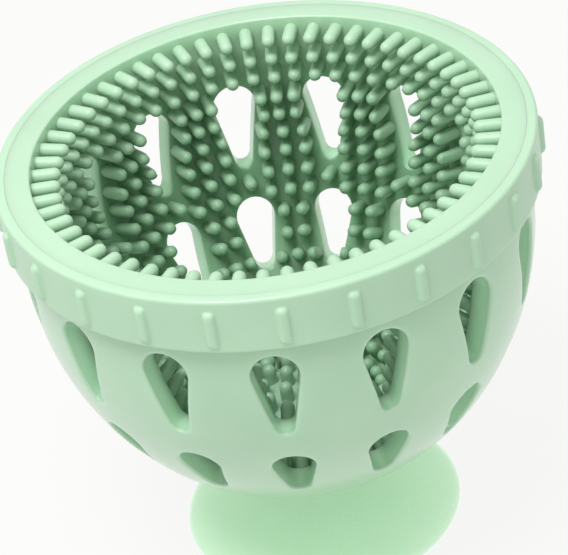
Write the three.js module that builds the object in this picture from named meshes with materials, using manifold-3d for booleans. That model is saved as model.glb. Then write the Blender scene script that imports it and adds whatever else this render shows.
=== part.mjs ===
// A silicone cup for washing a dog's paw: a slotted bowl lined with soft bristles, a ribbed ring round
// its mouth, and a suction foot on which the bowl turns.
// Millimetres and degrees. +Z is up, and the origin is the centre of the foot's underside.
// Azimuth 0 faces -Y and grows towards +X.
import * as THREE from 'three';
import { mergeVertices } from 'three/addons/utils/BufferGeometryUtils.js';
import Module from 'manifold-3d';

const wasm = await Module();
wasm.setup();

// Driving dimensions.

const gap = 0.3;              // clearance between pieces that rest on or pass through each other

// the bowl's wall is two half-ellipses about one centre height
const mouthRadius = 47.8;
const mouthHeight = 96.2;
const bowlCentreHeight = 77;
const outerRadius = 52.8;
const outerDepth = 61;
const innerDepth = 56.3;
const bowlUnderside = 17.6;
const floorHeight = 24;

// the stiff ring that hooks over the mouth
const ringRadius = 55;
const ringBottom = 84.2;
const ringEdgeRound = 0.7;
const seamRadius = 52.9;      // where the ring's lip meets the bowl's rim on the top face
const lipThickness = 1.45;
const flangeRadius = 53.35;   // the bowl's flange inside the ring
const flangeTaper = 0.9;
const ribCount = 25;
const ribStart = 3.75;
const ribLength = 8;
const ribWidth = 2.4;
const ribHeight = 0.7;

// two rows of drain slots, each a teardrop with its wide end up
const slotCount = 15;
const upperSlot = { topRadius: 4.7, bottomRadius: 2, spacing: 13.6, topCentre: 76.1, tilt: 0 };
const lowerSlot = { topRadius: 4.3, bottomRadius: 2.3, spacing: 9.4, topCentre: 48.8, tilt: 14 };

// the swivel that joins the soft floor to the foot, from the top down
const boreRadius = 4.3;       // hub's running bore
const spigotRadius = 4;
const bossRadius = 6;
const hubRadius = 11.5;
const hubUnderside = 13.9;
const plateRadius = 12.5;
const plateThickness = 1.5;
const washerThickness = 0.7;
const shoulderRadius = 8.5;
const shoulderThickness = 1.3;

const clampScrewCount = 3;
const clampScrewCircle = 9.4;
const clampScrewRadius = 1.1;
const clampHead = { radius: 1.9, height: 1.2 };

const pivotScrewRadius = 1.5;
const pivotScrewLength = 9;
const pivotHead = { radius: 3.2, height: 1.8 };
const pivotWasherRadius = 5.6;
const pivotWasherThickness = 0.8;

const padRadius = 14.6;
const padTop = 31.8;
const padWall = 1.7;

// the suction foot
const footRadius = 30.25;
const footEdge = 0.7;
const sealWidth = 1.45;
const hollowHeight = 4.2;
const neckRadius = 8.5;
const neckTop = 11;
const shankRadius = 3;
const shankBottom = 6.5;
const barbRadius = 4.4;
const barbRise = 1.8;
const postHoleBottom = 6.2;

// Colours.

const silicone = { color: 0xaedcb8, roughness: 0.5, metalness: 0 };
const footSilicone = { color: 0xb4e0b8, roughness: 0.42, metalness: 0 };
const ringPlastic = { color: 0xb8e4c2, roughness: 0.45, metalness: 0 };
const padSilicone = { color: 0xa4d4b0, roughness: 0.55, metalness: 0 };
const whiteNylon = { color: 0xe6e9e2, roughness: 0.4, metalness: 0 };
const palePlastic = { color: 0xc4e4ca, roughness: 0.4, metalness: 0 };
const stainless = { color: 0xb9bcbe, roughness: 0.3, metalness: 1 };

// Helpers.

const point = (radius, height) => new THREE.Vector2(radius, height);
const radians = THREE.MathUtils.degToRad;

// Shared corners only, and no slivers where a profile meets the axis.
function closed(geometry) {
  geometry.deleteAttribute('normal');
  geometry.deleteAttribute('uv');
  const merged = mergeVertices(geometry, 1e-4);
  const corners = merged.index.array;
  const kept = [];
  for (let i = 0; i < corners.length; i += 3) {
    const [a, b, c] = corners.slice(i, i + 3);
    if (a !== b && b !== c && c !== a) kept.push(a, b, c);
  }
  merged.setIndex(kept);
  return merged;
}

// Turns a profile of (radius, height) points round Z. The profile runs up its outside.
function lathe(profile, segments) {
  return closed(new THREE.LatheGeometry(profile, segments).rotateX(Math.PI / 2));
}

// A lathe whose profile comes back to its first point.
const latheRing = (profile, segments) => lathe([...profile, profile[0]], segments);

function toSolid(geometry) {
  const vertProperties = new Float32Array(geometry.attributes.position.array);
  const triVerts = new Uint32Array(geometry.index.array);
  return new wasm.Manifold(new wasm.Mesh({ numProp: 3, vertProperties, triVerts }));
}

function toGeometry(solid) {
  const mesh = solid.getMesh();
  const geometry = new THREE.BufferGeometry();
  geometry.setAttribute('position', new THREE.BufferAttribute(new Float32Array(mesh.vertProperties), 3));
  geometry.setIndex(Array.from(mesh.triVerts));
  return geometry;
}

function cylinder(radius, bottom, top, segments = 16) {
  const geometry = new THREE.CylinderGeometry(radius, radius, top - bottom, segments);
  return closed(geometry.rotateX(Math.PI / 2).translate(0, 0, (bottom + top) / 2));
}

function piece(name, geometry, look) {
  const mesh = new THREE.Mesh(geometry, new THREE.MeshStandardMaterial(look));
  mesh.name = name;
  return mesh;
}

// Points along a quarter-ellipse of the wall, from one height to another.
function ellipseArc(radius, depth, fromHeight, toHeight, steps) {
  const angleAt = (height) => Math.asin((bowlCentreHeight - height) / depth);
  const start = angleAt(fromHeight);
  const end = angleAt(toHeight);
  const arc = [];
  for (let i = 0; i <= steps; i++) {
    const angle = THREE.MathUtils.lerp(start, end, i / steps);
    arc.push(point(radius * Math.cos(angle), bowlCentreHeight - depth * Math.sin(angle)));
  }
  return arc;
}

// The bowl.

const outerRadiusAt = (height) => outerRadius * Math.sqrt(1 - ((bowlCentreHeight - height) / outerDepth) ** 2);

function slotShape({ topRadius, bottomRadius, spacing }) {
  const lean = Math.asin((topRadius - bottomRadius) / spacing);
  const shape = new THREE.Shape();
  shape.absarc(0, 0, topRadius, -lean, Math.PI + lean, false);
  shape.absarc(0, -spacing, bottomRadius, Math.PI + lean, 2 * Math.PI - lean, false);
  shape.closePath();
  return shape;
}

// A teardrop bar that passes straight through the wall; a tilted one points down on its way out.
function slotCutter(slot, azimuth) {
  const reach = 18;
  const arcSteps = 3;
  const bar = new THREE.ExtrudeGeometry(slotShape(slot),
    { depth: reach, bevelEnabled: false, curveSegments: arcSteps });
  bar.translate(0, 0, -reach / 2);
  bar.rotateX(Math.PI / 2 + radians(slot.tilt));
  bar.translate(0, -outerRadiusAt(slot.topCentre), slot.topCentre);
  bar.rotateZ(radians(azimuth));
  return toSolid(closed(bar));
}

function bristleBowl() {
  const wallSegments = 45;
  const bossHole = bossRadius + gap;
  const wallUnderFlange = ringBottom + gap;
  const flangeUnderside = wallUnderFlange + flangeTaper;
  const lipSeat = mouthHeight - lipThickness - gap;
  const rimEdge = seamRadius - gap;
  let solid = toSolid(latheRing([
    point(bossHole, bowlUnderside),
    ...ellipseArc(outerRadius, outerDepth, bowlUnderside, bowlCentreHeight, 7),
    point(outerRadiusAt(wallUnderFlange), wallUnderFlange),
    point(flangeRadius, flangeUnderside),
    point(flangeRadius, lipSeat),
    point(rimEdge, lipSeat),
    point(rimEdge, mouthHeight),
    point(mouthRadius, mouthHeight),
    ...ellipseArc(mouthRadius, innerDepth, bowlCentreHeight, floorHeight, 6),
    point(bossHole, floorHeight),
  ], wallSegments));
  for (let i = 0; i < slotCount; i++) {
    const azimuth = 360 * i / slotCount;
    solid = solid.subtract(slotCutter(upperSlot, azimuth));
    solid = solid.subtract(slotCutter(lowerSlot, azimuth));
  }
  for (let i = 0; i < clampScrewCount; i++) {
    solid = solid.subtract(clampHole(i, bowlUnderside - 1, floorHeight + 1));
  }
  return piece('bristle_bowl', toGeometry(solid), silicone);
}

// The ring.

function ribSolid(index) {
  const capRows = 2;
  const ribSides = 6;
  const halfWidth = ribWidth / 2;
  const sunk = 0.3;
  const middle = (ringBottom + mouthHeight) / 2 - 0.5;
  const rib = new THREE.CapsuleGeometry(halfWidth, ribLength - ribWidth, capRows, ribSides);
  rib.rotateX(Math.PI / 2);
  rib.scale(1, (ribHeight + sunk) / halfWidth, 1);
  rib.translate(0, -(ringRadius - sunk), middle);
  rib.rotateZ(radians(ribStart + 360 * index / ribCount));
  return toSolid(closed(rib));
}

function gripRing() {
  const ringSegments = 50;
  const bandInside = flangeRadius + gap;
  const lipUnderside = mouthHeight - lipThickness;
  let solid = toSolid(latheRing([
    point(bandInside, ringBottom),
    point(ringRadius - gap, ringBottom),
    point(ringRadius, ringBottom + gap),
    point(ringRadius, mouthHeight - ringEdgeRound),
    point(ringRadius - ringEdgeRound * 0.3, mouthHeight - ringEdgeRound * 0.3),
    point(ringRadius - ringEdgeRound, mouthHeight),
    point(seamRadius, mouthHeight),
    point(seamRadius, lipUnderside),
    point(bandInside, lipUnderside),
  ], ringSegments));
  for (let i = 0; i < ribCount; i++) {
    solid = solid.add(ribSolid(i));
  }
  return piece('grip_ring', toGeometry(solid), ringPlastic);
}

// The clamp that gives the soft floor a stiff hub.

const hubTop = bowlUnderside - gap;
const plateBottom = floorHeight + gap;
const plateTop = plateBottom + plateThickness;

function clampHole(index, bottom, top) {
  const hole = cylinder(clampScrewRadius + gap, bottom, top, 12);
  hole.translate(0, -clampScrewCircle, 0);
  hole.rotateZ(radians(360 * index / clampScrewCount));
  return toSolid(hole);
}

function swivelHub() {
  const hubSegments = 24;
  const blindBottom = hubUnderside + 1;
  let solid = toSolid(latheRing([
    point(boreRadius, hubUnderside),
    point(hubRadius - 1, hubUnderside),
    point(hubRadius, hubUnderside + 1),
    point(hubRadius, hubTop),
    point(bossRadius, hubTop),
    point(bossRadius, plateTop),
    point(boreRadius, plateTop),
  ], hubSegments));
  for (let i = 0; i < clampScrewCount; i++) {
    solid = solid.subtract(clampHole(i, blindBottom, hubTop + 1));
  }
  return piece('swivel_hub', toGeometry(solid), palePlastic);
}

function clampPlate() {
  const plateSegments = 24;
  const inside = bossRadius + gap;
  const chamfer = 0.4;
  let solid = toSolid(latheRing([
    point(inside, plateBottom),
    point(plateRadius, plateBottom),
    point(plateRadius, plateTop - chamfer),
    point(plateRadius - chamfer, plateTop),
    point(inside, plateTop),
  ], plateSegments));
  for (let i = 0; i < clampScrewCount; i++) {
    solid = solid.subtract(clampHole(i, plateBottom - 1, plateTop + 1));
  }
  return piece('clamp_plate', toGeometry(solid), stainless);
}

// A pan-head screw on the Z axis, with a cross recess in its head.
function screw(head, shankRadius, seat, length) {
  const recessWidth = head.radius * 0.35;
  const recessLength = head.radius * 1.3;
  const recessDepth = head.height * 0.5;
  const headTop = seat + head.height;
  let solid = toSolid(lathe([
    point(0, seat - length),
    point(shankRadius * 0.5, seat - length),
    point(shankRadius, seat - length + shankRadius),
    point(shankRadius, seat),
    point(head.radius, seat),
    point(head.radius, seat + head.height * 0.45),
    point(head.radius * 0.6, headTop),
    point(0, headTop),
  ], 12));
  for (const quarterTurn of [0, Math.PI / 2]) {
    const bar = new THREE.BoxGeometry(recessLength, recessWidth, 2 * recessDepth);
    bar.rotateZ(quarterTurn).translate(0, 0, headTop);
    solid = solid.subtract(toSolid(closed(bar)));
  }
  return toGeometry(solid);
}

function clampScrew(index) {
  const seat = plateTop + gap;
  const length = seat - (hubUnderside + 1) - gap;
  const geometry = screw(clampHead, clampScrewRadius, seat, length);
  geometry.translate(0, -clampScrewCircle, 0);
  geometry.rotateZ(radians(360 * index / clampScrewCount));
  return piece(`clamp_screw_${index + 1}`, geometry, stainless);
}

// A soft dome over the screws, where the paw stands.
function floorPad() {
  const padSegments = 32;
  const bottom = floorHeight + gap;
  const shoulder = bottom + 2;
  const roof = padTop - padWall;
  const inside = padRadius - padWall;
  return piece('floor_pad', lathe([
    point(0, roof),
    point(inside * 0.45, roof),
    point(inside, shoulder + 1.2),
    point(inside, bottom),
    point(padRadius, bottom),
    point(padRadius, shoulder),
    point(padRadius * 0.93, shoulder + 1.7),
    point(padRadius * 0.75, shoulder + 3.3),
    point(padRadius * 0.45, padTop - 0.7),
    point(0, padTop),
  ], padSegments), padSilicone);
}

// The pivot.

const shoulderBottom = neckTop + gap;
const shoulderTop = shoulderBottom + shoulderThickness;
const spigotTop = plateTop + gap;

function swivelPost() {
  const postSegments = 24;
  const boreBottom = spigotTop - pivotScrewLength;
  const post = lathe([
    point(0, shankBottom),
    point(shankRadius, shankBottom),
    point(barbRadius, shankBottom + 1),
    point(barbRadius, shankBottom + barbRise),
    point(shankRadius, shankBottom + barbRise),
    point(shankRadius, shoulderBottom),
    point(shoulderRadius, shoulderBottom),
    point(shoulderRadius, shoulderTop),
    point(spigotRadius, shoulderTop),
    point(spigotRadius, spigotTop),
    point(pivotScrewRadius + gap, spigotTop),
    point(pivotScrewRadius + gap, boreBottom),
    point(0, boreBottom),
  ], postSegments);
  return piece('swivel_post', post, palePlastic);
}

function flatWasher(name, insideRadius, outsideRadius, bottom, thickness, look) {
  return piece(name, latheRing([
    point(insideRadius, bottom),
    point(outsideRadius, bottom),
    point(outsideRadius, bottom + thickness),
    point(insideRadius, bottom + thickness),
  ], 24), look);
}

function pivotScrew() {
  const seat = spigotTop + gap + pivotWasherThickness + gap;
  return piece('pivot_screw', screw(pivotHead, pivotScrewRadius, seat, pivotScrewLength), stainless);
}

// The suction foot.

function suctionFoot() {
  const footSegments = 40;
  const holeRadius = shankRadius + gap;
  const pocketRadius = barbRadius + gap;
  const pocketBottom = shankBottom + 0.7;
  const pocketTop = shankBottom + barbRise + gap;
  const sealInside = footRadius - sealWidth;
  const underside = [];
  const undersideSteps = 4;
  for (let i = 0; i < undersideSteps; i++) {
    const radius = sealInside * i / undersideSteps;
    underside.push(point(radius, hollowHeight * (1 - (radius / sealInside) ** 2)));
  }
  const skirt = new THREE.CubicBezierCurve(
    point(footRadius, footEdge), point(25, 4.6), point(13, 6.2), point(neckRadius, neckTop - 1.6));
  return piece('suction_foot', lathe([
    ...underside,
    point(sealInside, 0),
    point(footRadius, 0),
    ...skirt.getPoints(6),
    point(neckRadius, neckTop),
    point(holeRadius, neckTop),
    point(holeRadius, pocketTop),
    point(pocketRadius, pocketTop),
    point(pocketRadius, pocketBottom),
    point(holeRadius, postHoleBottom),
    point(0, postHoleBottom),
  ], footSegments), footSilicone);
}

// The assembly.

const foot = new THREE.Group();
foot.add(suctionFoot());
foot.add(swivelPost());
foot.add(flatWasher('swivel_washer', boreRadius, shoulderRadius - 0.5,
  shoulderTop + gap, washerThickness, whiteNylon));
foot.add(flatWasher('pivot_washer', pivotScrewRadius + gap, pivotWasherRadius,
  spigotTop + gap, pivotWasherThickness, stainless));
foot.add(pivotScrew());

const bowl = new THREE.Group();
bowl.add(bristleBowl());
bowl.add(swivelHub());
bowl.add(clampPlate());
for (let i = 0; i < clampScrewCount; i++) {
  bowl.add(clampScrew(i));
}
bowl.add(floorPad());

const group = new THREE.Group();
group.add(foot);
group.add(bowl);
group.add(gripRing());

export default group;
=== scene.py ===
import math

import bmesh
import bpy
import numpy as np
from mathutils import Matrix, Vector


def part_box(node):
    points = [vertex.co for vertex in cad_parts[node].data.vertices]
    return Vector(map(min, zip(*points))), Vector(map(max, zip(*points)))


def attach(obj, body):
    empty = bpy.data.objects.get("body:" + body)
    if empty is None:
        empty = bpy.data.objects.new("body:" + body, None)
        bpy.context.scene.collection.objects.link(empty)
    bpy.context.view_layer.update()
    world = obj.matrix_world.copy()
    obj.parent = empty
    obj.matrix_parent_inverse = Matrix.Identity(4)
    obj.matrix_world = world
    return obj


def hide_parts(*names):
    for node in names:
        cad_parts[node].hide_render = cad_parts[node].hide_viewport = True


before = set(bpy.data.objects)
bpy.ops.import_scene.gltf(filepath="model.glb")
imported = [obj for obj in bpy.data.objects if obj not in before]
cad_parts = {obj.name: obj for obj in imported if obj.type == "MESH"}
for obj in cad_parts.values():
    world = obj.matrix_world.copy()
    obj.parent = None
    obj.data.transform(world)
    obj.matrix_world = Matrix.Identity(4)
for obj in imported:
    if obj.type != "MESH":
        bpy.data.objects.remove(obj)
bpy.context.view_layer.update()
print("frame loaded:", ", ".join(sorted(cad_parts)))

mm = 0.001
flatHold = 0.15                # mm, a loop this close to a rounded edge keeps the face beside it flat
filletSteps = 4
bowlLow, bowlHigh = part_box("bristle_bowl")
ringLow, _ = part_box("grip_ring")
_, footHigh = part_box("suction_foot")


def pickSocket(sockets, key):
    if isinstance(key, int):
        return sockets[key]
    return next(s for s in sockets if s.name == key and s.enabled)


class Value:  # one output socket that takes Python arithmetic and adds its Math nodes
    def __init__(self, tree, socket):
        self.tree = tree
        self.socket = socket

    def math(self, operation, *others, clamp=False):
        settings = {"operation": operation, "use_clamp": clamp}
        inputs = dict(enumerate((self, *others)))
        return self.tree.add("ShaderNodeMath", settings, inputs)

    def __add__(self, other):
        return self.math("ADD", other)

    def __sub__(self, other):
        return self.math("SUBTRACT", other)

    def __mul__(self, other):
        return self.math("MULTIPLY", other)

    def __truediv__(self, other):
        return self.math("DIVIDE", other)

    def __pow__(self, other):
        return self.math("POWER", other)

    def __rsub__(self, other):
        return (self * -1.0) + other

    __radd__ = __add__
    __rmul__ = __mul__


class Tree:  # adds nodes to a shader or geometry tree
    def __init__(self, nodeTree):
        self.nodeTree = nodeTree
        self.nodes = nodeTree.nodes

    def node(self, kind, settings=None, inputs=None):
        made = self.nodes.new(kind)
        for name, value in (settings or {}).items():
            setattr(made, name, value)
        for key, value in (inputs or {}).items():
            socket = pickSocket(made.inputs, key)
            if isinstance(value, Value):
                self.nodeTree.links.new(value.socket, socket)
            else:
                socket.default_value = value
        return made

    def connect(self, value, made, key):  # joins a value to an input of the node that made comes from
        self.nodeTree.links.new(value.socket, pickSocket(made.socket.node.inputs, key))

    def add(self, kind, settings=None, inputs=None, output=0):
        return Value(self, pickSocket(self.node(kind, settings, inputs).outputs, output))


def newGeometryTree(name, inputs):
    group = bpy.data.node_groups.new(name, "GeometryNodeTree")
    group.interface.new_socket("Geometry", in_out="INPUT", socket_type="NodeSocketGeometry")
    group.interface.new_socket("Geometry", in_out="OUTPUT", socket_type="NodeSocketGeometry")
    for label, (kind, value) in inputs.items():
        socket = group.interface.new_socket(label, in_out="INPUT", socket_type="NodeSocket" + kind)
        if value is not None:
            socket.default_value = value
    tree = Tree(group)
    entry = tree.node("NodeGroupInput")
    given = {s.name: Value(tree, s) for s in entry.outputs if s.name}
    return tree, given


def applyTree(obj, tree, values):  # runs the tree on obj and returns the result as a plain mesh
    modifier = obj.modifiers.new(tree.nodeTree.name, "NODES")
    modifier.node_group = tree.nodeTree
    for item in tree.nodeTree.interface.items_tree:
        if item.in_out == "INPUT" and item.name in values:
            modifier[item.identifier] = values[item.name]
    depsgraph = bpy.context.evaluated_depsgraph_get()
    mesh = bpy.data.meshes.new_from_object(obj.evaluated_get(depsgraph))
    obj.modifiers.remove(modifier)
    oldMesh = obj.data
    obj.data = mesh
    mesh.name = obj.name
    bpy.data.meshes.remove(oldMesh)
    return obj


def newObject(name, points, faces):
    mesh = bpy.data.meshes.new(name)
    mesh.from_pydata([tuple(p) for p in points], [], faces)
    mesh.update()
    obj = bpy.data.objects.new(name, mesh)
    bpy.context.scene.collection.objects.link(obj)
    return obj


def finishMesh(obj, sharpAngle=38, mergeDistance=0.002 * mm):  # welds, faces outwards, keeps crisp edges
    mesh = bmesh.new()
    mesh.from_mesh(obj.data)
    bmesh.ops.remove_doubles(mesh, verts=mesh.verts, dist=mergeDistance)
    bmesh.ops.dissolve_degenerate(mesh, edges=mesh.edges, dist=mergeDistance * 0.5)
    bmesh.ops.recalc_face_normals(mesh, faces=mesh.faces)
    limit = math.radians(sharpAngle)
    for face in mesh.faces:
        face.smooth = True
    for edge in mesh.edges:
        edge.smooth = len(edge.link_faces) == 2 and edge.calc_face_angle(0) < limit
    mesh.to_mesh(obj.data)
    mesh.free()
    return obj


def dress(obj, material, body, slot, *replaced):
    obj.data.materials.clear()
    obj.data.materials.append(material)
    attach(obj, body)
    if replaced:
        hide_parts(*replaced)
    return obj


def arc(centre, radius, start, end, steps):  # (r, z) points, angles in degrees
    turn = [math.radians(start + (end - start) * i / steps) for i in range(steps + 1)]
    return [(centre[0] + radius * math.cos(a), centre[1] + radius * math.sin(a)) for a in turn]


def rounded(corners, closedLoop=True):  # corners are (r, z, fillet); each becomes an arc
    out = []
    count = len(corners)
    for i, (r, z, fillet) in enumerate(corners):
        atEnd = not closedLoop and i in (0, count - 1)
        if fillet <= 0 or atEnd:
            out.append((r, z))
            continue
        here = Vector((r, z))
        before = (Vector(corners[i - 1][:2]) - here).normalized()
        after = (Vector(corners[(i + 1) % count][:2]) - here).normalized()
        half = before.angle(after) / 2
        back = fillet / math.tan(half)
        start, end = here + before * back, here + after * back
        middle = here + (before + after).normalized() * (fillet / math.sin(half))
        a0, a1 = start - middle, end - middle
        sweep = a0.angle_signed(a1)
        for k in range(filletSteps + 1):
            spoke = a0.copy()
            spoke.rotate(Matrix.Rotation(-sweep * k / filletSteps, 2))
            out.append(tuple(middle + spoke))
    return out


def turned(name, profile, segments=96, closedLoop=True):  # profile in millimetres, turned round Z
    points, faces = [], []
    count = len(profile)
    for s in range(segments):
        angle = 2 * math.pi * s / segments
        points += [(r * mm * math.sin(angle), -r * mm * math.cos(angle), z * mm) for r, z in profile]
    rows = count if closedLoop else count - 1
    for s in range(segments):
        here, there = s * count, (s + 1) % segments * count
        for i in range(rows):
            j = (i + 1) % count
            faces.append((here + i, there + i, there + j, here + j))
    return finishMesh(newObject(name, points, faces))


bowl = {
    "centreHeight": 77.0,      # both half-ellipses of the wall are struck from here, mm
    "outerRadius": 52.8,
    "outerDepth": 61.0,
    "innerRadius": 47.8,
    "innerDepth": 56.3,
    "floorHeight": 24.0,
    "bossHole": 6.3,
    "flangeRadius": 53.35,     # hidden inside the ring
    "rimEdge": 52.88,
    "flangeTaper": 0.9,
    "lipSeat": 1.75,           # how far the ring's lip is let into the rim
    "slotCount": 15,
    "slotRound": 0.75,         # soft edge outside
    "slotInsideRound": 0.22,   # crisp edge inside
    "cellTop": 83.6,           # each slot sits in a cell of the wall
    "cellSplit": 57.3,
    "cellBottom": 34.8,
    "across": 10,              # mesh steps over a cell
    "along": 18,
    "wallSteps": 3,
    "crowding": 1.35,          # rows of the cell crowd towards the slot
    "mouthRound": 0.35,
    "seamRound": 0.03,         # the rim stays sharp where it meets the ring's lip
    "mouthLoops": (90.0, 87.0),
    "bossEdge": 0.3,
    "flatLoop": 0.8,           # share of a flat's radius where a loop holds it level
}
upperSlot = {"topRadius": 4.7, "bottomRadius": 2.0, "spacing": 13.6, "topCentre": 76.1, "tilt": 0.0}
lowerSlot = {"topRadius": 4.3, "bottomRadius": 2.3, "spacing": 9.4, "topCentre": 48.8, "tilt": 14.0}
mouthHeight = bowlHigh.z / mm
underside = bowlLow.z / mm
sectorAngle = 2 * math.pi / bowl["slotCount"]


def wallRadius(height, radius, depth, drop=0.0):
    below = np.minimum((bowl["centreHeight"] - height) / depth, 0.9999)
    return radius * np.sqrt(1 - below ** 2) - drop


def outerAt(height, drop=0.0):
    return wallRadius(height, bowl["outerRadius"], bowl["outerDepth"], drop)


def innerAt(height, drop=0.0):
    level = np.minimum(height, bowl["centreHeight"])  # straight above the centre height
    return wallRadius(level, bowl["innerRadius"], bowl["innerDepth"]) + drop


def slotLean(slot):
    return math.asin((slot["topRadius"] - slot["bottomRadius"]) / slot["spacing"])


def slotSide(slot, steps):  # left side of a teardrop as (x, y, normal angle), evenly spaced downwards
    lean = slotLean(slot)
    top, bottom, spacing = slot["topRadius"], slot["bottomRadius"], slot["spacing"]
    eighth = math.pi / 4
    runs = [top * (eighth + lean), math.sqrt(spacing ** 2 - (top - bottom) ** 2), bottom * (eighth - lean)]
    out = []
    for i in range(1, steps):
        travel = sum(runs) * i / steps
        if travel < runs[0]:
            angle = 3 * eighth + travel / top
            out.append((top * math.cos(angle), top * math.sin(angle), angle))
        elif travel < runs[0] + runs[1]:
            angle = math.pi + lean
            share = (travel - runs[0]) / runs[1]
            radius = top + (bottom - top) * share
            out.append((radius * math.cos(angle), radius * math.sin(angle) - spacing * share, angle))
        else:
            angle = math.pi + lean + (travel - runs[0] - runs[1]) / bottom
            out.append((bottom * math.cos(angle), bottom * math.sin(angle) - spacing, angle))
    return out


def slotOutline(slot, offset):  # counter-clockwise from the top right, in four runs that match a cell's sides
    across, along = bowl["across"], bowl["along"]
    quarter = math.pi / 2
    points = []
    for i in range(across + 1):
        angle = quarter / 2 + quarter * i / across
        points.append((slot["topRadius"] * math.cos(angle), slot["topRadius"] * math.sin(angle), angle))
    side = slotSide(slot, along)
    points += side
    for i in range(across + 1):
        angle = 2.5 * quarter + quarter * i / across
        x, y = slot["bottomRadius"] * math.cos(angle), slot["bottomRadius"] * math.sin(angle)
        points.append((x, y - slot["spacing"], angle))
    points += [(-x, y, math.pi - angle) for x, y, angle in reversed(side)]
    x, y, angle = np.array(points).T
    return x + offset * np.cos(angle), y + offset * np.sin(angle)


def cutThrough(slot, x, y, surface):  # where the slot's straight cut meets a surface: angle, height, radius
    tilt = math.radians(slot["tilt"])
    start = float(outerAt(slot["topCentre"]))
    low, high = np.full_like(x, -26.0), np.full_like(x, 14.0)
    for _ in range(40):
        travel = (low + high) / 2
        forward = start + y * math.sin(tilt) + travel * math.cos(tilt)
        height = slot["topCentre"] + y * math.cos(tilt) - travel * math.sin(tilt)
        outside = np.hypot(x, forward) > surface(height)
        high = np.where(outside, travel, high)
        low = np.where(outside, low, travel)
    return np.arctan2(x, forward), height, np.hypot(x, forward)


def cellEdge(top, bottom):  # the cell's sides, counter-clockwise from the top right
    across, along, half = bowl["across"], bowl["along"], sectorAngle / 2
    level = np.linspace(half, -half, across + 1)
    fall = np.linspace(top, bottom, along + 1)[1:-1]
    angle = np.concatenate([level, np.full(along - 1, -half), level[::-1], np.full(along - 1, half)])
    height = np.concatenate([np.full(across + 1, top), fall, np.full(across + 1, bottom), fall[::-1]])
    return angle, height


def slotSkin(slot, edge, surface, edgeRound, bends, spread):  # rings from the cell's edge to the slot's lip
    edgeAngle, edgeHeight = edge
    angle, height, _ = cutThrough(slot, *slotOutline(slot, edgeRound), surface)
    rings = []
    for i in range(spread):
        share = (1 - i / spread) ** bowl["crowding"]
        a, h = angle + (edgeAngle - angle) * share, height + (edgeHeight - height) * share
        rings.append(toPoints(a, h, surface(h)))
    for i in range(bends + 1):
        turn = math.pi / 2 * i / bends
        offset = edgeRound * (1 - math.sin(turn))
        drop = edgeRound * (1 - math.cos(turn))
        rings.append(toPoints(*cutThrough(slot, *slotOutline(slot, offset), lambda z, d=drop: surface(z, d))))
    return rings


def slotCell(slot, top, bottom):  # one slot and the wall round it, outside to inside
    edge = cellEdge(top, bottom)
    outside = slotSkin(slot, edge, outerAt, bowl["slotRound"], 5, 8)
    inside = slotSkin(slot, edge, innerAt, bowl["slotInsideRound"], 2, 6)
    first, last = outside[-1], inside[-1]
    steps = bowl["wallSteps"]
    through = [first + (last - first) * i / steps for i in range(1, steps)]
    return outside + through + inside[::-1]


def toPoints(angle, height, radius):
    return np.stack([radius * np.sin(angle), -radius * np.cos(angle), height + 0 * angle], axis=-1)


def addRings(points, faces, rings, loop):
    width = len(rings[0])
    start = len(points)
    for ring in rings:
        points += list(ring)
    for i in range(len(rings) - 1):
        for k in range(width if loop else width - 1):
            a, b = start + i * width + k, start + i * width + (k + 1) % width
            faces.append((a, b, b + width, a + width))


def sectorStrip(profile, columns):
    return [toPoints(columns, np.full_like(columns, z), np.full_like(columns, r)) for r, z in profile]


def ellipseRun(surface, start, end, steps):
    heights = np.linspace(start, end, steps + 1)
    return [(float(surface(h)), float(h)) for h in heights]


def ellipseTurn(radius, depth, start, end, count):  # wall profile between two heights, evenly turned
    centre = bowl["centreHeight"]
    angles = np.linspace(math.asin((centre - start) / depth), math.asin((centre - end) / depth), count)
    return [(radius * math.cos(a), centre - depth * math.sin(a)) for a in angles]


def bowlSector():
    points, faces = [], []
    addRings(points, faces, slotCell(upperSlot, bowl["cellTop"], bowl["cellSplit"]), True)
    addRings(points, faces, slotCell(lowerSlot, bowl["cellSplit"], bowl["cellBottom"]), True)
    columns = np.linspace(-sectorAngle / 2, sectorAngle / 2, bowl["across"] + 1)
    top, seat = mouthHeight, mouthHeight - bowl["lipSeat"]
    flange, rim, inner = bowl["flangeRadius"], bowl["rimEdge"], bowl["innerRadius"]
    seam, mouth = bowl["seamRound"], bowl["mouthRound"]
    wallTop = ringLow.z / mm + 0.3
    rimProfile = ellipseRun(outerAt, bowl["cellTop"], wallTop - 0.1, 2) + rounded([
        (float(outerAt(wallTop)), wallTop, 0), (flange, wallTop + bowl["flangeTaper"], 0.3),
        (flange, seat, 0.2),
        (rim, seat, 0), (rim, top, seam), (rim - flatHold, top, 0), (inner + mouth + flatHold, top, 0),
        (inner, top, mouth), (inner, top - mouth - flatHold, 0),
        *((inner, z, 0) for z in bowl["mouthLoops"]), (inner, bowl["cellTop"], 0)], False)
    addRings(points, faces, sectorStrip(rimProfile, columns), False)
    low, floor, hole = underside, bowl["floorHeight"], bowl["bossHole"]
    edge, loop = bowl["bossEdge"], bowl["flatLoop"]
    flatOut, flatIn = float(outerAt(low)), float(innerAt(floor))
    outside = ellipseTurn(bowl["outerRadius"], bowl["outerDepth"], bowl["cellBottom"], low, 12)
    inside = ellipseTurn(bowl["innerRadius"], bowl["innerDepth"], floor, bowl["cellBottom"], 10)
    floorProfile = outside + [
        (flatOut * loop, low), (hole + edge, low), (hole, low + edge), (hole, floor - edge),
        (hole + edge, floor), (flatIn * loop, floor)] + inside
    addRings(points, faces, sectorStrip(floorProfile, columns), False)
    return newObject("bowl_wall", np.array(points) * mm, faces)


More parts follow.
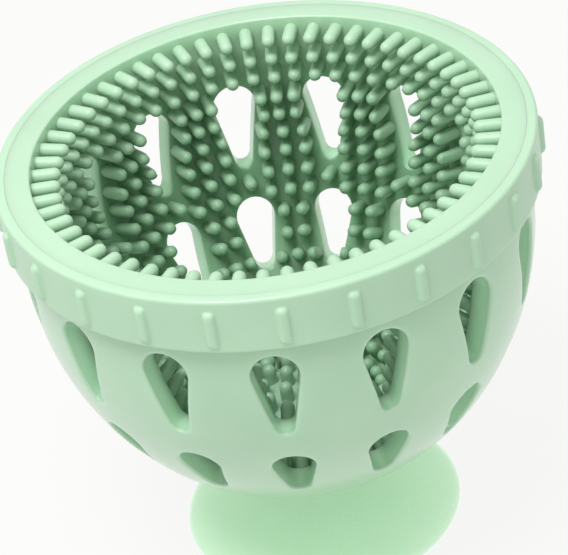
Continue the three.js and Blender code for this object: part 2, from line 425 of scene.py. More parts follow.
def repeatTree():  # turns one sector into the whole ring of them
    tree, given = newGeometryTree("repeatRoundAxis", {
        "Count": ("Int", 15), "Weld Distance": ("Float", 2e-6), "Material": ("Material", None)})
    line = tree.add("GeometryNodeMeshLine", {"mode": "OFFSET"}, {
        "Count": given["Count"], "Offset": (0, 0, 0)})
    index = tree.add("GeometryNodeInputIndex")
    turn = index * (2 * math.pi) / given["Count"]
    rotation = tree.add("ShaderNodeCombineXYZ", inputs={"Z": turn})
    copies = tree.add("GeometryNodeInstanceOnPoints", inputs={
        "Points": line, "Instance": given["Geometry"], "Rotation": rotation})
    solid = tree.add("GeometryNodeRealizeInstances", inputs={"Geometry": copies})
    welded = tree.add("GeometryNodeMergeByDistance", inputs={
        "Geometry": solid, "Distance": given["Weld Distance"]})
    painted = tree.add("GeometryNodeSetMaterial", inputs={"Geometry": welded, "Material": given["Material"]})
    tree.node("NodeGroupOutput", inputs={"Geometry": painted})
    return tree


bristle = {
    "length": 5.9,             # mm, beyond the wall
    "sunk": 0.5,               # root buried in the wall
    "rootRadius": 1.46,
    "tipRadius": 1.38,
    "sides": 12,
    "steps": 6,
    "crowding": 2.6,           # rings crowd towards the tip
    "noseHeight": 0.92,        # rounded end, share of the tip's radius
    "noseLimit": 0.985,        # the end closes on a small flat
    "noseSquare": 2.3,         # 2 gives a ball end
    "wobble": 1.6,             # degrees a moulded bristle may lean by
    "seed": 11,
    "rimRows": 3,              # full rows close under the mouth
    "rimFirst": 3.1,
    "rimPitch": 4.5,
    "wallFirst": 17.2,         # first row that makes room for the slots, below the mouth
    "wallPitch": 4.72,
    "lowSteps": (3.9, 3.1, 2.5, 1.9),   # the last rows crowd together on the shallow floor
    "slotClearance": 0.04,
    "betweenSlots": 57.9,      # one bristle stands between each upper and lower slot
}
# columns in each 24 degree sector, counted in degrees from the middle of a slot
bristleRows = [
    (7.3, 12, 16.7), (7.3, 12, 16.7), (6, 12, 18), (6, 12, 18), (6, 12, 18), (6, 12, 18),
    (9, 15), (9, 15), (6, 12, 18), (0, 6, 12, 18), (4, 12, 20), (0, 8, 16), (0, 12), (6, 18),
]


def rowHeights():
    rim = [mouthHeight - bristle["rimFirst"] - bristle["rimPitch"] * i for i in range(bristle["rimRows"])]
    wall = [mouthHeight - bristle["wallFirst"]]
    evenSteps = len(bristleRows) - 1 - len(bristle["lowSteps"])
    for step in [bristle["wallPitch"]] * evenSteps + list(bristle["lowSteps"]):
        wall.append(wall[-1] - step)
    rows = [(height, (0, 6, 12, 18)) for height in rim]
    rows.append((bristle["betweenSlots"], (0,)))
    return rows + list(zip(wall, bristleRows))


def rootPoints(name, points, leans):  # bare points in mm, each carrying the way its bristle leans
    roots = newObject(name, np.array(points) * mm, [])
    attribute = roots.data.attributes.new("lean", "FLOAT_VECTOR", "POINT")
    attribute.data.foreach_set("vector", np.array(leans, dtype=np.float32).ravel())
    return roots


def bristleRoots():
    points, leans = [], []
    squash = (bowl["innerRadius"] / bowl["innerDepth"]) ** 2
    for height, columns in rowHeights():
        radius = float(innerAt(height))
        rise = max(bowl["centreHeight"] - height, 0) * squash
        slope = math.hypot(radius, rise)
        inward, up = radius / slope, rise / slope
        for sector in range(bowl["slotCount"]):
            for column in columns:
                angle = sectorAngle * sector + math.radians(column)
                out = Vector((math.sin(angle), -math.cos(angle), 0))
                lean = Vector((-out.x * inward, -out.y * inward, up))
                root = Vector((out.x * radius, out.y * radius, height)) - lean * bristle["sunk"]
                points.append(root)
                leans.append(lean)
    return rootPoints("bowl_bristles", points, leans)


def bristleTree():  # one rounded bristle on every root point, along its lean
    tree, given = newGeometryTree("bristlesOnRoots", {
        "Length": ("Float", 0.006), "Root Radius": ("Float", 0.0013), "Tip Radius": ("Float", 0.0012),
        "Sides": ("Int", 12), "Steps": ("Int", 6), "Wobble": ("Float", 0.03), "Seed": ("Int", 1),
        "Material": ("Material", None)})
    rod = tree.add("GeometryNodeMeshCylinder", {"fill_type": "NGON"}, {
        "Vertices": given["Sides"], "Side Segments": given["Steps"], "Radius": 1.0, "Depth": 2.0})
    x, y, z = split(tree, tree.add("GeometryNodeInputPosition"))
    share = z * 0.5 + 0.5                       # 0 at the root, 1 at the tip
    along = 1 - (1 - share) ** bristle["crowding"]
    nose = given["Tip Radius"] * bristle["noseHeight"]
    dome = (along * given["Length"] - given["Length"] + nose) / nose
    dome = dome.math("MAXIMUM", 0.0).math("MINIMUM", bristle["noseLimit"])
    cap = (1 - dome ** bristle["noseSquare"]) ** 0.5
    radius = (given["Root Radius"] + (given["Tip Radius"] - given["Root Radius"]) * along) * cap
    shaped = tree.add("ShaderNodeCombineXYZ", inputs={
        "X": x * radius, "Y": y * radius, "Z": along * given["Length"]})
    rod = tree.add("GeometryNodeSetPosition", inputs={"Geometry": rod, "Position": shaped})
    lean = tree.add("GeometryNodeInputNamedAttribute", {"data_type": "FLOAT_VECTOR"}, {"Name": "lean"})
    jitter = tree.add("FunctionNodeRandomValue", {"data_type": "FLOAT_VECTOR"}, {
        "Min": (-1, -1, -1), "Max": (1, 1, 1), "Seed": given["Seed"]})
    jitter = tree.add("ShaderNodeVectorMath", {"operation": "SCALE"}, {0: jitter, "Scale": given["Wobble"]})
    aim = tree.add("ShaderNodeVectorMath", {"operation": "ADD"}, {0: lean, 1: jitter})
    rotation = tree.add("FunctionNodeAlignRotationToVector", {"axis": "Z"}, {"Vector": aim})
    copies = tree.add("GeometryNodeInstanceOnPoints", inputs={
        "Points": given["Geometry"], "Instance": rod, "Rotation": rotation})
    solid = tree.add("GeometryNodeRealizeInstances", inputs={"Geometry": copies})
    painted = tree.add("GeometryNodeSetMaterial", inputs={"Geometry": solid, "Material": given["Material"]})
    tree.node("NodeGroupOutput", inputs={"Geometry": painted})
    return tree


def trimBySlots(obj):  # a bristle beside a slot is cut flush with the slot's side
    count = len(obj.data.vertices)
    flat = np.empty(count * 3)
    obj.data.vertices.foreach_get("co", flat)
    points = flat.reshape(-1, 3) / mm
    angle = np.arctan2(points[:, 0], -points[:, 1])
    nearest = np.round(angle / sectorAngle) * sectorAngle
    reach = np.hypot(points[:, 0], points[:, 1])
    x, forward, z = reach * np.sin(angle - nearest), reach * np.cos(angle - nearest), points[:, 2].copy()
    for slot in (upperSlot, lowerSlot):
        tilt, lean = math.radians(slot["tilt"]), slotLean(slot)
        start = float(outerAt(slot["topCentre"]))
        y = (forward - start) * math.sin(tilt) + (z - slot["topCentre"]) * math.cos(tilt)
        centre = np.clip(y + np.abs(x) * math.tan(lean), -slot["spacing"], 0)
        radius = slot["topRadius"] + centre / slot["spacing"] * (slot["topRadius"] - slot["bottomRadius"])
        away = np.hypot(x, y - centre)
        clear = radius + bristle["slotClearance"]
        push = np.maximum(clear / np.maximum(away, 1e-6), 1.0)
        newX, newY = x * push, centre + (y - centre) * push
        forward = forward + (newY - y) * math.sin(tilt)
        z = z + (newY - y) * math.cos(tilt)
        x = newX
    turnBack = nearest + np.arctan2(x, forward)
    reach = np.hypot(x, forward)
    points = np.stack([reach * np.sin(turnBack), -reach * np.cos(turnBack), z], axis=-1) * mm
    obj.data.vertices.foreach_set("co", points.ravel())
    obj.data.update()


ring = {
    "radius": 55.0,            # mm, band outside
    "bandInside": 53.65,
    "seamRadius": 52.9,
    "lipThickness": 1.45,
    "edgeRound": 0.75,
    "ribCount": 25,
    "firstRib": 3.75,          # degrees from the first slot
    "ribLength": 8.2,
    "ribWidth": 2.5,
    "ribHeight": 1.0,
    "ribSquare": 3.0,          # 2 gives round ends
    "ribFineStep": 0.16,       # mesh step over a rib, mm
    "ribDrop": 0.45,           # ribs sit this far below the band's middle
    "lowRound": 0.6,           # band's lower outside edge
    "seamRound": 0.03,         # the lip stays sharp where it meets the bowl
    "domeSquare": 2.4,         # how full a rib is between its sides
    "domeRound": 0.62,
    "filletRise": 0.05,        # soft run-out round a rib, share of its height
    "filletReach": 0.16,
    "bandRows": 44,
}


def ribRise(across, height, middle):  # how far a rib stands out, at a place on the band
    straight = (ring["ribLength"] - ring["ribWidth"]) / 2
    past = np.maximum(np.abs(height - middle) - straight, 0)
    square = ring["ribSquare"]
    share = (np.abs(across) ** square + past ** square) ** (1 / square) / (ring["ribWidth"] / 2)
    dome = (1 - np.minimum(share, 1) ** ring["domeSquare"]) ** ring["domeRound"]
    skirt = ring["filletRise"] * np.exp(-((share - 1) / ring["filletReach"]) ** 2) * (share > 1)
    return ring["ribHeight"] * (dome + skirt)


def ringSector():
    half = math.pi / ring["ribCount"]
    reach = ring["ribWidth"] * 0.75
    fine = np.arange(-reach, reach + 1e-6, 2 * reach / round(2 * reach / ring["ribFineStep"]))
    plain = np.linspace(reach, half * ring["radius"], 7)[1:]
    across = np.concatenate([-plain[::-1], fine, plain])
    columns = across / ring["radius"]
    low, top = ringLow.z / mm, mouthHeight
    middle = (low + top) / 2 - ring["ribDrop"]
    band = np.linspace(low + 0.7, top - ring["edgeRound"], ring["bandRows"])
    radius, rim, inside = ring["radius"], ring["edgeRound"], ring["bandInside"]
    lip = top - ring["lipThickness"]
    lowRound, seam = ring["lowRound"], ring["seamRound"]
    profile = [(inside, low + 0.25), (inside + 0.25, low), (radius - lowRound, low)]
    profile += arc((radius - lowRound, low + lowRound), lowRound, -72, -12, 4)
    profile += [(radius, z) for z in band]
    profile += arc((radius - rim, top - rim), rim, 12, 90, 6)
    profile += [(radius - rim - flatHold, top), (ring["seamRadius"] + seam + flatHold, top)]
    profile += arc((ring["seamRadius"] + seam, top - seam), seam, 90, 180, 2)
    profile += [(ring["seamRadius"], lip), (inside, lip), (inside, lip - 4), (inside, low + 4)]
    rings = []
    for r, z in profile + profile[:1]:
        rise = ribRise(across, z, middle) if r > radius - 0.05 else 0 * across
        rings.append(toPoints(columns, np.full_like(columns, z), r + rise))
    points, faces = [], []
    addRings(points, faces, rings, False)
    return newObject("grip_ring_band", np.array(points) * mm, faces)


foot = {
    "edge": 0.7,
    "sealWidth": 1.45,
    "hollowHeight": 4.2,
    "neckRadius": 8.5,
    "skirtBends": ((25, 4.6), (13, 6.2)),   # radius and height that pull the skirt's curve
    "skirtTop": 1.6,           # the curve ends this far below the neck's top
    "sealRound": 0.35,
    "hollowRows": 14,
    "skirtRows": 24,
    "postHole": 3.3,
    "holeBottom": 6.2,
}


def suctionFoot():
    radius, neckTop = footHigh.x / mm, footHigh.z / mm
    sealInside = radius - foot["sealWidth"]
    underside = []
    for i in range(foot["hollowRows"]):
        r = sealInside * i / foot["hollowRows"]
        underside.append((r, foot["hollowHeight"] * (1 - (r / sealInside) ** 2)))
    pulls = ((radius, foot["edge"]), *foot["skirtBends"], (foot["neckRadius"], neckTop - foot["skirtTop"]))
    skirt = []
    for i in range(1, foot["skirtRows"] + 1):
        t = i / foot["skirtRows"]
        w = ((1 - t) ** 3, 3 * t * (1 - t) ** 2, 3 * t * t * (1 - t), t ** 3)
        skirt.append(tuple(sum(k * p[a] for k, p in zip(w, pulls)) for a in (0, 1)))
    seal = foot["sealRound"]
    profile = underside + [(sealInside, 0.02), (radius - seal, 0.0)]
    profile += arc((radius - seal, seal), seal, -60, 60, 5) + skirt
    profile += rounded([(foot["neckRadius"], neckTop - 1.2, 0), (foot["neckRadius"], neckTop, 0.5),
                        (foot["postHole"], neckTop, 0.2), (foot["postHole"], neckTop - 1, 0)], False)
    profile += [(foot["postHole"], foot["holeBottom"]), (0, foot["holeBottom"])]
    return turned("suction_foot_skirt", profile, 128, False)


swivel = {
    "boreRadius": 4.3,
    "spigotRadius": 4.0,
    "bossRadius": 6.0,
    "plateHole": 6.3,
    "washerHole": 4.3,
    "pivotWasherHole": 1.8,
    "shankRadius": 3.0,
    "barbRadius": 4.4,
    "barbRise": 1.8,
    "shoulderThickness": 1.3,
    "gap": 0.3,                # clearance to the foot below and the bowl above
    "hubBevel": 1.2,
    "screwBore": 1.8,
    "screwBoreDepth": 9,
    "edge": 0.35,              # broken edges, mm
}


def levels(node):
    low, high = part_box(node)
    return low.z / mm, high.z / mm, high.x / mm


def swivelHub():
    low, high, radius = levels("swivel_hub")
    flangeTop, bevel = underside - swivel["gap"], swivel["hubBevel"]
    bore, boss, edge = swivel["boreRadius"], swivel["bossRadius"], swivel["edge"]
    return turned("swivel_hub_turned", rounded([
        (bore, low, edge), (radius - bevel, low, 0.5), (radius, low + bevel, 0.5), (radius, flangeTop, edge),
        (boss, flangeTop, 0), (boss, high, edge), (bore, high, 0.2)]))


def swivelPost():
    low, high, radius = levels("swivel_post")
    shoulder, barbTop = footHigh.z / mm + swivel["gap"], low + swivel["barbRise"]
    seat = shoulder + swivel["shoulderThickness"]
    bore, boreEnd = swivel["screwBore"], high - swivel["screwBoreDepth"]
    shank, barb, spigot, edge = (swivel[k] for k in ("shankRadius", "barbRadius", "spigotRadius", "edge"))
    return turned("swivel_post_turned", rounded([
        (0, low, 0), (shank, low, 0), (barb, low + 1, 0.15), (barb, barbTop, 0.15), (shank, barbTop, 0),
        (shank, shoulder, 0), (radius, shoulder, edge), (radius, seat, edge), (spigot, seat, 0),
        (spigot, high, edge), (bore, high, 0), (bore, boreEnd, 0), (0, boreEnd, 0)], False), 96, False)


def flatRing(name, node, hole):
    low, high, radius = levels(node)
    return turned(name, rounded([
        (hole, low, 0.12), (radius, low, 0.18), (radius, high, 0.18), (hole, high, 0.12)]))


pad = {
    "wall": 1.7,               # mm
    "sill": 2.0,               # upright edge under the dome
    "crown": 0.9,
    "hollowReach": 0.42,       # flat under the crown, share of the radius
    "hollowStep": 1.2,
    "edge": 0.3,
    "bristleLength": 4.6,
    "bristleRings": [(0, 1), (4.7, 5), (9.0, 11), (12.7, 15)],   # radius and count
    "sunk": 0.6,
}


def floorPad():
    low, high, radius = levels("floor_pad")
    wall, sill, edge = pad["wall"], low + pad["sill"], pad["edge"]
    dome = [(radius * math.cos(a), sill + (high - sill) * math.sin(a) ** pad["crown"])
            for a in np.linspace(0.12, math.pi / 2, 20)]
    inside = [(0, high - wall), (radius * pad["hollowReach"], high - wall),
              (radius - wall, sill + pad["hollowStep"]), (radius - wall, low)]
    lip = [(radius - edge, low), (radius, low + edge)]
    return turned("floor_pad_dome", inside + lip + dome[:-1] + [(0, high)], 128, False)


def padRoots():  # upright bristles in rings over the dome
    low, high, radius = levels("floor_pad")
    sill, points = low + pad["sill"], []
    for reach, count in pad["bristleRings"]:
        height = sill + (high - sill) * (1 - (reach / radius) ** 2) ** (pad["crown"] / 2)
        for i in range(count):
            angle = 2 * math.pi * (i + 0.25) / count
            points.append((reach * math.sin(angle), -reach * math.cos(angle), height - pad["sunk"]))
    return rootPoints("floor_pad_bristles", points, [(0, 0, 1)] * len(points))


def cutShape(obj, cutter):  # takes the cutter out of obj
    modifier = obj.modifiers.new("cut", "BOOLEAN")
    modifier.operation = "DIFFERENCE"
    modifier.solver = "EXACT"
    modifier.object = cutter
    depsgraph = bpy.context.evaluated_depsgraph_get()
    mesh = bpy.data.meshes.new_from_object(obj.evaluated_get(depsgraph))
    obj.modifiers.remove(modifier)
    oldMesh = obj.data
    obj.data = mesh
    bpy.data.meshes.remove(oldMesh)
    bpy.data.objects.remove(cutter)
    return obj


screw = {
    "pivot": (1.5, 1.8),       # shank radius and head height, mm
    "clamp": (1.1, 1.2),
    "pitch": 0.5,
    "threadRoot": 0.82,        # share of the shank's radius
    "tipShare": 0.5,
    "armReach": 0.62,          # cross recess, shares of the head's radius
    "armHalf": 0.17,
    "recessDepth": 0.55,       # share of the head's height
    "recessTaper": 0.72,
    "headEdge": 0.35,          # upright edge, share of the head's height
    "headRound": 0.6,
    "threadStart": 0.8,        # plain tip and plain neck
    "threadEnd": 1.5,
}


def crossBars(place, radius, top, depth):  # the recess of a cross-head screw
    points = []
    arm, half = radius * screw["armReach"], radius * screw["armHalf"]
    outline = [(arm, -half), (arm, half), (half, half), (half, arm), (-half, arm), (-half, half),
               (-arm, half), (-arm, -half), (-half, -half), (-half, -arm), (half, -arm), (half, -half)]
    for level, shrink in ((top + 1, 1.0), (top - depth, screw["recessTaper"])):
        points += [((place[0] + x * shrink) * mm, (place[1] + y * shrink) * mm, level * mm)
                   for x, y in outline]
    count = len(outline)
    faces = [tuple(range(count)), tuple(range(count, 2 * count))[::-1]]
    faces += [(i, i + count, (i + 1) % count + count, (i + 1) % count) for i in range(count)]
    cutter = newObject("cross_recess", points, faces)
    mesh = bmesh.new()
    mesh.from_mesh(cutter.data)
    bmesh.ops.recalc_face_normals(mesh, faces=mesh.faces)
    mesh.to_mesh(cutter.data)
    mesh.free()
    return cutter


def panScrew(name, node, shank, headHeight):
    low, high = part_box(node)
    middle = (low + high) / 2 / mm
    bottom, top, radius = low.z / mm, high.z / mm, (high.x - low.x) / 2 / mm
    seat = top - headHeight
    edge, roundness = screw["headEdge"], screw["headRound"]
    crown = [(radius * math.cos(a) ** roundness, seat + headHeight * (edge + (1 - edge) * math.sin(a)))
             for a in np.linspace(0, math.pi / 2, 9)]
    thread, pitch = [], screw["pitch"]
    for i in range(int((seat - bottom - screw["threadEnd"]) / pitch)):
        z = bottom + screw["threadStart"] + pitch * i
        thread += [(shank * screw["threadRoot"], z), (shank, z + pitch / 2)]
    profile = [(0, bottom), (shank * screw["tipShare"], bottom)] + thread
    profile += [(shank, seat - 0.3), (shank, seat), (radius, seat)]
    obj = turned(name, profile + crown[:-1] + [(0, top)], 48, False)
    obj.data.transform(Matrix.Translation((middle.x * mm, middle.y * mm, 0)))
    cutShape(obj, crossBars((middle.x, middle.y), radius, top, headHeight * screw["recessDepth"]))
    return finishMesh(obj, 30)


def newMaterial(name):
    material = bpy.data.materials.new(name)
    material.use_nodes = True
    material.node_tree.nodes.clear()
    return material, Tree(material.node_tree)


def objectPlace(tree):
    return tree.add("ShaderNodeTexCoord", output="Object")


def noise(tree, place, scale, detail):
    return tree.add("ShaderNodeTexNoise", {"noise_dimensions": "3D"}, {
        "Vector": place, "Scale": scale, "Detail": detail, "Roughness": 0.5})


def mixColour(tree, factor, first, second):
    return tree.add("ShaderNodeMix", {"data_type": "RGBA", "blend_type": "MIX", "clamp_factor": True}, {
        0: factor, 6: first, 7: second}, output=2)


def colour(red, green, blue):  # screen values, 0 to 255
    return tuple(((v / 255 + 0.055) / 1.055) ** 2.4 for v in (red, green, blue)) + (1.0,)


silicone = {
    "light": colour(184, 220, 188),
    "deep": colour(176, 212, 181),
    "driftLow": 0.3,                    # where the drift between the two starts, and how quickly it turns
    "driftGain": 2.4,
    "inside": colour(112, 160, 120),    # painted shade: darker green for the shade and interreflection down in the cup
    "insideAmount": 0.0,
    "insideFade": (1, 22),              # mm below the mouth where the painted shade starts and is full
    "innerSkin": (1.012, 0.012),        # reach where it starts, and over how much
    "tips": (0.985, 0.085),
    "tipLess": 0.15,
    "deepFade": (80, 35),               # heights in mm between which it grows
    "deepMore": (0.3, 0.8),             # growth and base
    "cut": colour(204, 243, 211),       # painted light: lighter colour on the cut faces of the slots, standing in for light that comes through the wall
    "cutAmount": 0.0,
    "cutFade": (7, 9),                  # mm below the mouth
    "cutBand": (1.05, 0.04),            # reach halfway through the wall, and to either side
    "rimAmount": 0.0,                   # painted light: the same lighter colour on the flat top of the rim
    "rimFade": 0.5,
    "under": colour(158, 194, 162),     # painted shade: darker colour where the wall turns in under the cup
    "underAmount": 0.0,
    "underStart": 62,
    "mottle": 38.0,                     # per metre: slow colour drift in the moulding
    "grain": 2600.0,                    # fine matt skin from the mould
    "grainDepth": 0.00001,
    "ripple": 210.0,
    "rippleDepth": 0.00004,
    "roughness": 0.32,
    "roughnessSpread": 0.10,
    "roughnessDrift": 0.08,
    "softness": 0.15,                   # light passing under the skin
    "softReach": (0.0030, 0.0055, 0.0034),
    "coat": 0.0,
    "coatRoughness": 0.16,
    "glow": None,                       # painted glow: emission that stands in for light coming up through a thin, clear skirt
    "glowRise": (1.5, 0.35),
}


def split(tree, vector):
    return [Value(tree, s) for s in tree.node("ShaderNodeSeparateXYZ", inputs={0: vector}).outputs]


def wallReach(tree, place):  # 1 on the wall's inner skin, more outside it, less inside the cup
    x, y, z = split(tree, place)
    below = (bowl["centreHeight"] * mm - z).math("MAXIMUM", 0.0) / (bowl["innerDepth"] * mm)
    across = (x * x + y * y) ** 0.5 / (bowl["innerRadius"] * mm)
    return (across * across + below * below) ** 0.5


def clamped(value):  # held between 0 and 1
    return value.math("MULTIPLY", 1.0, clamp=True)


def depthShare(tree, place, start, end):  # 0 at the start height, 1 at the end height, mm
    z = split(tree, place)[2]
    return clamped((z - start * mm) / ((end - start) * mm))


def cutShare(tree, place):  # painted light share: 1 halfway through the wall, below the rim
    middle, half = silicone["cutBand"]
    start, end = (mouthHeight - drop for drop in silicone["cutFade"])
    off = clamped((wallReach(tree, place) - middle).math("ABSOLUTE") / half)
    return depthShare(tree, place, start, end) * (1 - off ** 2)


def insideShare(tree, place):  # painted shade share: 1 on the wall deep in the cup, less at the tips, 0 outside and at the mouth
    reach = wallReach(tree, place)
    inner, tip = (clamped((start - reach) / width)
                  for start, width in (silicone["innerSkin"], silicone["tips"]))
    start, end = (mouthHeight - drop for drop in silicone["insideFade"])
    mouth = depthShare(tree, place, start, end)
    growth, base = silicone["deepMore"]
    floor = depthShare(tree, place, *silicone["deepFade"])
    return inner * mouth * (1 - tip * silicone["tipLess"]) * (floor * growth + base)


def siliconeLook(name, **changes):
    look = {**silicone, **changes}
    material, tree = newMaterial(name)
    place = objectPlace(tree)
    drift = noise(tree, place, look["mottle"], 3.0)
    grain = noise(tree, place, look["grain"], 2.0)
    ripple = noise(tree, place, look["ripple"], 2.0)
    tint = mixColour(tree, (drift - look["driftLow"]) * look["driftGain"], look["deep"], look["light"])
    # painted shade deep in the cup
    if look["insideAmount"]:
        tint = mixColour(tree, insideShare(tree, place) * look["insideAmount"], tint, look["inside"])
    # painted light on the slots' cut faces
    if look["cutAmount"]:
        tint = mixColour(tree, cutShare(tree, place) * look["cutAmount"], tint, look["cut"])
    # painted light on the top of the rim
    if look["rimAmount"]:
        rim = depthShare(tree, place, mouthHeight - look["rimFade"], mouthHeight)
        tint = mixColour(tree, rim * look["rimAmount"], tint, look["cut"])
    # painted shade under the cup
    if look["underAmount"]:
        under = depthShare(tree, place, look["underStart"], underside)
        tint = mixColour(tree, under * look["underAmount"], tint, look["under"])
    rough = look["roughness"] + (grain - 0.5) * look["roughnessSpread"]
    rough = rough + (drift - 0.5) * look["roughnessDrift"]
    relief = ripple * look["rippleDepth"] + grain * look["grainDepth"]
    bump = tree.add("ShaderNodeBump", inputs={"Height": relief, "Distance": 1.0, "Strength": 1.0})
    shader = tree.add("ShaderNodeBsdfPrincipled", {"subsurface_method": "RANDOM_WALK"}, {
        "Base Color": tint, "Roughness": rough, "Normal": bump, "IOR": 1.42,
        "Subsurface Weight": look["softness"], "Subsurface Radius": look["softReach"],
        "Subsurface Scale": 1.0,
        "Coat Weight": look["coat"], "Coat Roughness": look["coatRoughness"]})
    # painted glow: the foot emits light, weaker towards the neck
    if look["glow"]:
        x, y, _ = split(tree, place)
        gain, start = look["glowRise"]
        edge = ((x * x + y * y) ** 0.5 / footHigh.x * gain - start).math("MAXIMUM", 0.0)
        tree.connect(mixColour(tree, edge, look["glow"][0], look["glow"][1]), shader, "Emission Color")
        shader.socket.node.inputs["Emission Strength"].default_value = 1.0
    tree.node("ShaderNodeOutputMaterial", inputs={"Surface": shader})
    return material


steel = {
    "dark": (0.50, 0.51, 0.52, 1),
    "light": (0.68, 0.69, 0.70, 1),
    "turning": 26000.0,        # radians per metre: fine rings from the lathe
    "turningDepth": 0.000004,
    "scuff": 900.0,
    "roughness": 0.2,
    "roughnessSpread": 0.18,
}


def steelLook():
    material, tree = newMaterial("turned_steel")
    place = objectPlace(tree)
    x, y, _ = split(tree, place)
    rings = ((x * x + y * y) ** 0.5 * steel["turning"]).math("SINE") * 0.5 + 0.5
    scuff = noise(tree, place, steel["scuff"], 4.0)
    tint = mixColour(tree, scuff, steel["dark"], steel["light"])
    bump = tree.add("ShaderNodeBump", inputs={
        "Height": rings * steel["turningDepth"], "Distance": 1.0, "Strength": 1.0})
    shader = tree.add("ShaderNodeBsdfPrincipled", inputs={
        "Base Color": tint, "Metallic": 1.0, "Normal": bump,
        "Roughness": scuff * steel["roughnessSpread"] + steel["roughness"]})
    tree.node("ShaderNodeOutputMaterial", inputs={"Surface": shader})
    return material


camera = {
    "azimuth": 5.8,            # degrees round the cup from the first slot
    "elevation": 35.24,
    "lookHeight": 61.6,        # mm, on the cup's axis
    "distance": 548.7,
    "lens": 166.85,
    "roll": 9.515,
    "shift": (-0.0049, -0.0008),
}


def placeCamera():
    azimuth, elevation = math.radians(camera["azimuth"]), math.radians(camera["elevation"])
    back = Vector((math.sin(azimuth) * math.cos(elevation), -math.cos(azimuth) * math.cos(elevation),
                   math.sin(elevation)))
    right = Vector((math.cos(azimuth), math.sin(azimuth), 0))
    up = back.cross(right)
    roll = math.radians(camera["roll"])
    axisX = right * math.cos(roll) - up * math.sin(roll)
    axisY = right * math.sin(roll) + up * math.cos(roll)
    data = bpy.data.cameras.new("camera")
    data.lens, data.sensor_width = camera["lens"], 36.0
    data.shift_x, data.shift_y = camera["shift"]
    data.clip_start, data.clip_end = 0.01, 20.0
    obj = bpy.data.objects.new("camera", data)
    place = Vector((0, 0, camera["lookHeight"] * mm)) + back * camera["distance"] * mm
    obj.matrix_world = Matrix.Translation(place) @ Matrix((axisX, axisY, back)).transposed().to_4x4()
    bpy.context.scene.collection.objects.link(obj)
    bpy.context.scene.camera = obj


lighting = {
    "world": (1.0, 1.0, 0.985),
    "worldStrength": 0.57,
    "floorColour": (0.07, 0.07, 0.068),
    "floorGlow": 0.87,
    "lamps": [  # name, place, size, watts
        ("top_softbox", (-0.13, -0.2, 0.75), 0.4, 4.5),
    ],
}


def lightRoom():
    scene = bpy.context.scene
    scene.view_settings.view_transform = "Standard"
    world = bpy.data.worlds.new("studio")
    world.use_nodes = True
    shade = world.node_tree.nodes["Background"]
    shade.inputs["Color"].default_value = (*lighting["world"], 1)
    shade.inputs["Strength"].default_value = lighting["worldStrength"]
    scene.world = world
    for name, place, size, watts in lighting["lamps"]:
        data = bpy.data.lights.new(name, "AREA")
        data.shape, data.size, data.energy = "DISK", size, watts
        lamp = bpy.data.objects.new(name, data)
        lamp.location = place
        lamp.rotation_mode = "QUATERNION"
        lamp.rotation_quaternion = (Vector((0, 0, 0.05)) - Vector(place)).to_track_quat("-Z", "Y")
        scene.collection.objects.link(lamp)
    floor = newObject("floor", [(-4, -4, 0), (4, -4, 0), (4, 4, 0), (-4, 4, 0)], [(0, 1, 2, 3)])
    material, tree = newMaterial("floor_paper")
    shader = tree.add("ShaderNodeBsdfPrincipled", inputs={
        "Base Color": (*lighting["floorColour"], 1), "Roughness": 0.9,
        "Emission Color": (*lighting["world"], 1), "Emission Strength": lighting["floorGlow"]})
    tree.node("ShaderNodeOutputMaterial", inputs={"Surface": shader})
    floor.data.materials.append(material)


placeCamera()
lightRoom()
print("camera and lights placed")

# the bowl's colour carries painted shade in the cup and under it, and painted light on the slot cuts and the
# rim
bowlSkin = siliconeLook("mint_silicone", insideAmount=0.84, cutAmount=0.9, rimAmount=0.15, underAmount=0.8,
                       coat=0.6, coatRoughness=0.11, softness=0.35, softReach=(0.004, 0.007, 0.0045))
# the bristles carry the painted cup shade too
bristleSkin = siliconeLook("bristle_silicone", rippleDepth=0.0, insideAmount=0.62, roughness=0.42, coat=0.1)
# the ring's top is painted lighter too
ringSkin = siliconeLook(
    "ring_satin", softness=0.1, roughness=0.4, coat=0.25, coatRoughness=0.13, rimAmount=0.15)
# the foot glows with painted light
footSkin = siliconeLook(
    "foot_silicone", softness=0.5, roughness=0.26, softReach=(0.006, 0.008, 0.006), coat=0.3,
    light=colour(188, 214, 189), deep=colour(180, 209, 181),
    glow=((0.185, 0.275, 0.195, 1), (0.205, 0.295, 0.215, 1)))
# painted shade: the pad's colours are darker for the shade at the bottom of the cup
padSkin = siliconeLook("pad_silicone", light=colour(158, 192, 165), deep=colour(144, 180, 152))
hubSkin = siliconeLook("hub_plastic", softness=0.1, roughness=0.35)
washerSkin = siliconeLook(
    "washer_nylon", softness=0.2, light=colour(236, 238, 232), deep=colour(228, 231, 224))
steelSkin = steelLook()
print("finishes made")

repeat = repeatTree()
wall = applyTree(bowlSector(), repeat, {
    "Count": bowl["slotCount"], "Weld Distance": 2e-6, "Material": bowlSkin})
finishMesh(wall, 50)
dress(wall, bowlSkin, "bowl", "bowl_silicone", "bristle_bowl")
print("bowl wall:", len(wall.data.polygons), "faces")

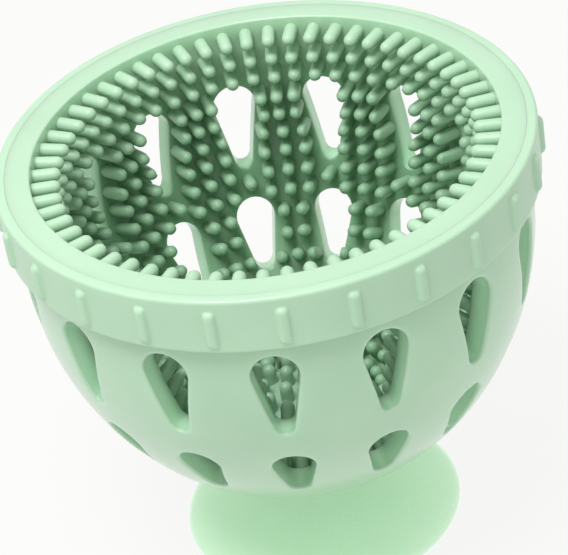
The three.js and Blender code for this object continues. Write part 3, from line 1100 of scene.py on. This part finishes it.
bristleShape = {
    "Root Radius": bristle["rootRadius"] * mm, "Tip Radius": bristle["tipRadius"] * mm,
    "Sides": bristle["sides"], "Steps": bristle["steps"], "Wobble": math.radians(bristle["wobble"]),
    "Seed": bristle["seed"], "Material": bristleSkin}
growBristles = bristleTree()
bristles = applyTree(bristleRoots(), growBristles, {
    **bristleShape, "Length": (bristle["length"] + bristle["sunk"]) * mm})
trimBySlots(bristles)
finishMesh(bristles, 60, 0.0001 * mm)
dress(bristles, bristleSkin, "bowl", "bowl_silicone", "bristle_bowl")
print("bristles:", len(bristles.data.polygons), "faces")

band = applyTree(ringSector(), repeat, {
    "Count": ring["ribCount"], "Weld Distance": 2e-6, "Material": ringSkin})
band.data.transform(Matrix.Rotation(math.radians(ring["firstRib"]), 4, "Z"))
finishMesh(band, 50)
dress(band, ringSkin, "ring", "ring_plastic", "grip_ring")
print("grip ring:", len(band.data.polygons), "faces")

dress(suctionFoot(), footSkin, "foot", "foot_silicone", "suction_foot")
dress(swivelPost(), hubSkin, "foot", "hub_plastic", "swivel_post")
dress(flatRing("swivel_washer_turned", "swivel_washer", swivel["washerHole"]), washerSkin,
      "foot", "washer_nylon", "swivel_washer")
dress(flatRing("pivot_washer_turned", "pivot_washer", swivel["pivotWasherHole"]), steelSkin,
      "foot", "stainless", "pivot_washer")
dress(panScrew("pivot_screw_cut", "pivot_screw", *screw["pivot"]), steelSkin,
      "foot", "stainless", "pivot_screw")
dress(swivelHub(), hubSkin, "bowl", "hub_plastic", "swivel_hub")
dress(flatRing("clamp_plate_turned", "clamp_plate", swivel["plateHole"]), steelSkin,
      "bowl", "stainless", "clamp_plate")
for number in (1, 2, 3):
    node = f"clamp_screw_{number}"
    dress(panScrew(f"{node}_cut", node, *screw["clamp"]), steelSkin, "bowl", "stainless", node)
dress(floorPad(), padSkin, "pad", "pad_silicone", "floor_pad")
padBristles = applyTree(padRoots(), growBristles, {
    **bristleShape, "Length": (pad["bristleLength"] + pad["sunk"]) * mm, "Material": padSkin})
finishMesh(padBristles, 60, 0.0001 * mm)
dress(padBristles, padSkin, "pad", "pad_silicone", "floor_pad")
print("foot, swivel and pad made")
